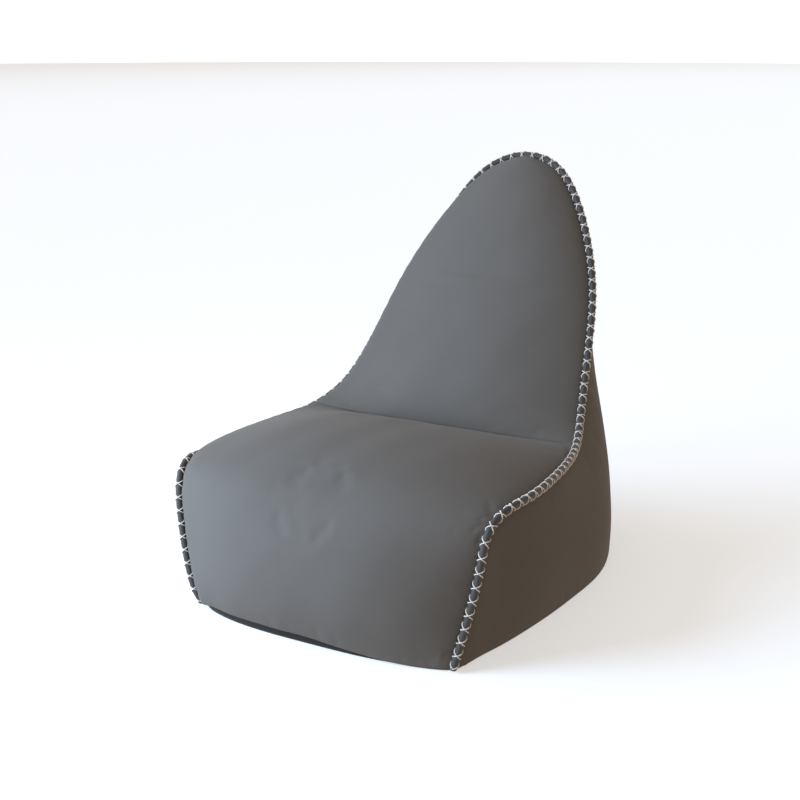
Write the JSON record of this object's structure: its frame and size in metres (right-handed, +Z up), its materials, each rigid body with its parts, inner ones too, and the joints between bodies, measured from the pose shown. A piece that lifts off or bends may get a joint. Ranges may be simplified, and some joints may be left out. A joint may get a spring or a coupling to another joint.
{
  "type": "bean bag chair",
  "caption": "Low structured bean bag lounge chair with a crowned seat, a tall rounded backrest, a cross-stitched welt round its top panels and a zip in the back.",
  "frame": {"origin": "middle of the bounding box in plan, on the floor", "axes": "+Z up, -Y towards the front of the seat, +X to the right seen from the back and to the right-hand side panel"},
  "size_m": [0.7094, 0.9599, 0.8001],
  "materials": {
    "top_fabric": "matt fine weave, mid grey",
    "side_fabric": "matt fine weave, mid grey",
    "base_fabric": "black coated cloth",
    "welt_fabric": "dark grey cloth with a slight sheen",
    "welt_cord": "soft undyed cord",
    "thread": "thick white twisted thread",
    "inner_tape": "woven black tape",
    "liner": "thin off-white non-woven cloth",
    "beads": "expanded polystyrene beads",
    "zip_tape": "woven black tape",
    "zip_teeth": "moulded black plastic",
    "zip_metal": "dark plated metal"
  },
  "bodies": {
    "chair": {"seat_panel": "top_fabric", "backrest_panel": "top_fabric", "left_side_panel": "side_fabric", "right_side_panel": "side_fabric", "base_panel": "base_fabric", "edge_welt_casing": "welt_fabric", "edge_welt_cord": "welt_cord", "cross_stitch_thread_a": "thread", "cross_stitch_thread_b": "thread", "crease_seam_tape": "inner_tape", "inner_liner": "liner", "bean_filling": "beads", "zip_tape_left": "zip_tape", "zip_tape_right": "zip_tape", "zip_teeth_left": "zip_teeth", "zip_teeth_right": "zip_teeth", "zip_top_stops": "zip_metal", "zip_bottom_stop": "zip_metal"},
    "slider": {"zip_slider": "zip_metal"},
    "pull": {"zip_pull": "zip_metal"}
  },
  "joints": [
    {"name": "zip_slide", "type": "slide", "parent": "chair", "child": "slider", "axis": [0, 0.1893, 0.9819], "range_m": [-0.327, 0]},
    {"name": "pull_hinge", "type": "hinge", "parent": "slider", "child": "pull", "pos_m": [0, 0.44564, 0.39668], "axis": [1, 0, 0], "range_deg": [-8, 150]}
  ]
}
